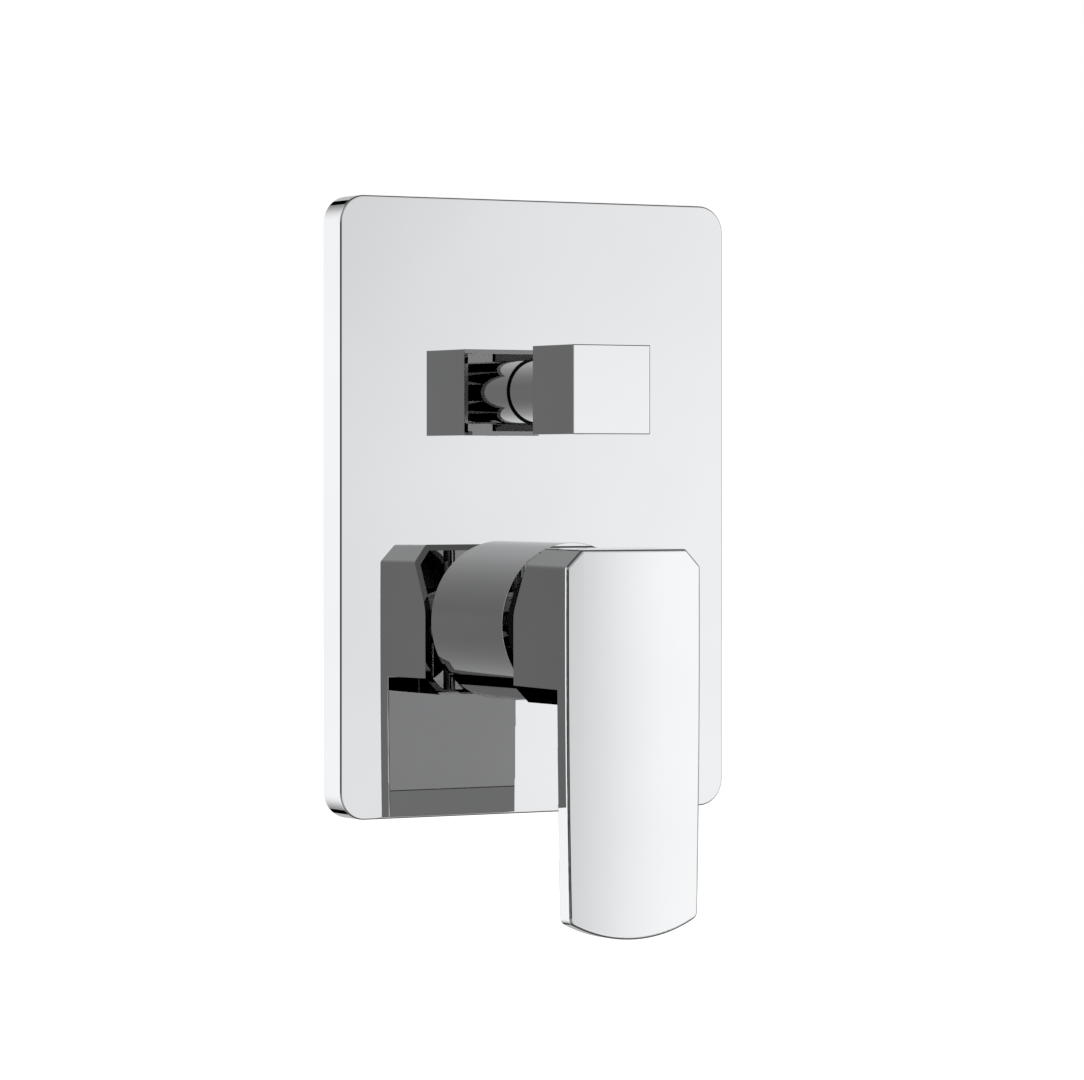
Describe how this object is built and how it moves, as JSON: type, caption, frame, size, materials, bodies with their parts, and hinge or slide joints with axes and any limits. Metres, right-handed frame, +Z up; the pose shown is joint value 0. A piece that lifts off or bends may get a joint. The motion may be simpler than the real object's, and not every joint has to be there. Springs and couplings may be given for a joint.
{
  "type": "concealed bath mixer",
  "caption": "Concealed single-lever bath mixer: flat chrome plate, round sleeve with a blade lever, square diverter knob above, and a brass valve body with threaded ports behind the wall.",
  "frame": {"origin": "centre of the cover plate on the finished wall's plane, at the back of the gasket", "axes": "+Z up along the plate's long side, -Y out of the wall towards the user, +X to the user's right"},
  "size_m": [0.13, 0.1132, 0.2126],
  "materials": {
    "chrome": "polished chrome plate",
    "cast_brass": "blasted brass casting with machined port ends",
    "turned_brass": "turned brass",
    "steel": "plain stainless steel",
    "housing_plastic": "moulded acetal, off-white",
    "carrier_plastic": "moulded acetal, dark grey",
    "ceramic": "lapped alumina",
    "rubber": "black nitrile rubber",
    "black_plastic": "moulded plastic, black",
    "foam": "closed-cell foam, dark grey",
    "plug_plastic": "metal-grey moulded plastic"
  },
  "bodies": {
    "fixed": {"valve_body": "cast_brass", "cover_plate": "chrome", "plate_gasket": "foam", "lever_sleeve": "chrome", "sleeve_o_ring": "rubber", "cartridge_nut": "turned_brass", "cartridge_housing": "carrier_plastic", "cartridge_base": "housing_plastic", "port_seals": "rubber", "fixed_disc": "ceramic", "diverter_bonnet": "turned_brass", "bonnet_o_ring": "rubber", "diverter_fixed_disc": "ceramic", "diverter_seal": "rubber", "stem_seal": "rubber", "sleeve_cap": "black_plastic"},
    "swivel": {"stem_carrier": "carrier_plastic", "carrier_o_ring": "rubber", "pivot_pin": "steel"},
    "lever": {"cartridge_stem": "steel", "lever_handle": "chrome", "lever_grub_screw": "steel", "screw_plug": "plug_plastic"},
    "slider": {"disc_carriage": "carrier_plastic", "moving_disc": "ceramic"},
    "diverter": {"diverter_knob": "chrome", "knob_grub_screw": "steel", "diverter_spindle": "turned_brass", "spindle_o_ring": "rubber", "retaining_clip": "steel", "diverter_moving_disc": "ceramic"}
  },
  "joints": [
    {"name": "lever_turn", "type": "hinge", "parent": "fixed", "child": "swivel", "pos_m": [0, -0.0205, -0.0338], "axis": [0, -1, 0], "range_deg": [-50, 50]},
    {"name": "lever_lift", "type": "hinge", "parent": "swivel", "child": "lever", "pos_m": [0, -0.0205, -0.0338], "axis": [-1, 0, 0], "range_deg": [0, 25]},
    {"name": "disc_slide", "type": "slide", "parent": "swivel", "child": "slider", "axis": [0, 0, -1], "range_m": [0, 0.0039]},
    {"name": "diverter_turn", "type": "hinge", "parent": "fixed", "child": "diverter", "pos_m": [0, -0.03, 0.0338], "axis": [0, -1, 0], "range_deg": [0, 90]}
  ],
  "couplings": [
    {"joint": "disc_slide", "follows": "lever_lift", "m_per_rad": 0.0087}
  ]
}
